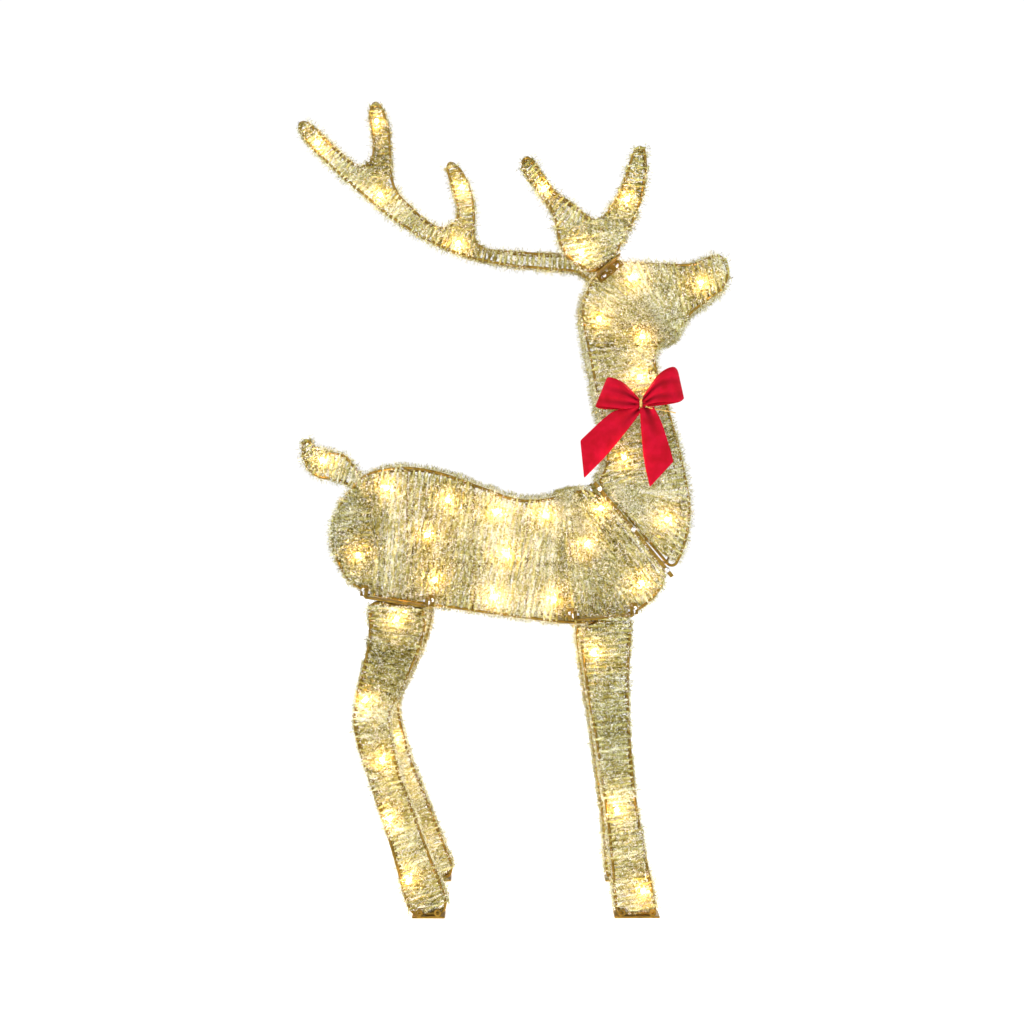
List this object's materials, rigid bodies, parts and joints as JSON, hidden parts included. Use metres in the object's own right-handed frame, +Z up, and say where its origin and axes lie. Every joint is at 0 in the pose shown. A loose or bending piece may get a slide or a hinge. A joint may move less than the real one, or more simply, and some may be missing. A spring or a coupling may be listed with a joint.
{
  "type": "lighted yard reindeer",
  "caption": "Standing antlered deer of tinsel-wound wire frame sections with small warm lights, folding legs, stake eyes at the feet and a ribbon bow on the neck.",
  "frame": {"origin": "on the ground in the middle plane, halfway between the antler tips and the nose", "axes": "+X forwards to the nose, +Z up, -Y the side with the bow and the short antler"},
  "size_m": [0.711, 0.329, 1.32],
  "materials": {
    "tinsel": "metallic champagne-gold and clear tinsel yarn",
    "gold_wire": "gold paint, satin",
    "chrome_fixing": "bright",
    "led_lens": "clear, lit warm white",
    "light_wire": "clear gold",
    "lead_inlet": "matt",
    "ribbon": "red velvet ribbon",
    "twist_tie": "bright gold"
  },
  "bodies": {
    "deer": {"antler_screws": "chrome_fixing", "body_cross_wires": "gold_wire", "body_ribs": "gold_wire", "body_side_wires": "gold_wire", "body_tinsel": "tinsel", "bow_knot": "ribbon", "bow_loop_front": "ribbon", "bow_loop_rear": "ribbon", "bow_tail_front": "ribbon", "bow_tail_rear": "ribbon", "bow_tie": "twist_tie", "far_antler_bracket": "gold_wire", "far_antler_frame": "gold_wire", "far_antler_tinsel": "tinsel", "hinge_bolts": "chrome_fixing", "hinge_brackets": "gold_wire", "hinge_screws": "chrome_fixing", "lead_inlet": "lead_inlet", "light_lenses": "led_lens", "light_wire": "light_wire", "near_antler_bracket": "gold_wire", "near_antler_frame": "gold_wire", "near_antler_tinsel": "tinsel", "neck_bolts": "chrome_fixing", "neck_cross_wires": "gold_wire", "neck_joint_bars": "gold_wire", "neck_side_wires": "gold_wire", "neck_tinsel": "tinsel", "tail_frame": "gold_wire", "tail_tinsel": "tinsel"},
    "near_rear_leg": {"near_rear_leg_cross_wires": "gold_wire", "near_rear_leg_foot": "gold_wire", "near_rear_leg_hinge_bar": "gold_wire", "near_rear_leg_lenses": "led_lens", "near_rear_leg_light_wire": "light_wire", "near_rear_leg_side_wires": "gold_wire", "near_rear_leg_tinsel": "tinsel"},
    "far_rear_leg": {"far_rear_leg_cross_wires": "gold_wire", "far_rear_leg_foot": "gold_wire", "far_rear_leg_hinge_bar": "gold_wire", "far_rear_leg_lenses": "led_lens", "far_rear_leg_light_wire": "light_wire", "far_rear_leg_side_wires": "gold_wire", "far_rear_leg_tinsel": "tinsel"},
    "near_front_leg": {"near_front_leg_cross_wires": "gold_wire", "near_front_leg_foot": "gold_wire", "near_front_leg_hinge_bar": "gold_wire", "near_front_leg_lenses": "led_lens", "near_front_leg_light_wire": "light_wire", "near_front_leg_side_wires": "gold_wire", "near_front_leg_tinsel": "tinsel"},
    "far_front_leg": {"far_front_leg_cross_wires": "gold_wire", "far_front_leg_foot": "gold_wire", "far_front_leg_hinge_bar": "gold_wire", "far_front_leg_lenses": "led_lens", "far_front_leg_light_wire": "light_wire", "far_front_leg_side_wires": "gold_wire", "far_front_leg_tinsel": "tinsel"}
  },
  "joints": [
    {"name": "near_rear_leg_fold", "type": "hinge", "parent": "deer", "child": "near_rear_leg", "pos_m": [-0.21895, -0.102, 0.49508], "axis": [-0.9891, 0, 0.1473], "range_deg": [0, 160]},
    {"name": "far_rear_leg_fold", "type": "hinge", "parent": "deer", "child": "far_rear_leg", "pos_m": [-0.21895, 0.102, 0.49508], "axis": [0.9891, 0, -0.1473], "range_deg": [0, 160]},
    {"name": "near_front_leg_fold", "type": "hinge", "parent": "deer", "child": "near_front_leg", "pos_m": [0.10664, -0.102, 0.46002], "axis": [-0.9969, 0, -0.0793], "range_deg": [0, 160]},
    {"name": "far_front_leg_fold", "type": "hinge", "parent": "deer", "child": "far_front_leg", "pos_m": [0.10664, 0.102, 0.46002], "axis": [0.9969, 0, 0.0793], "range_deg": [0, 160]}
  ]
}
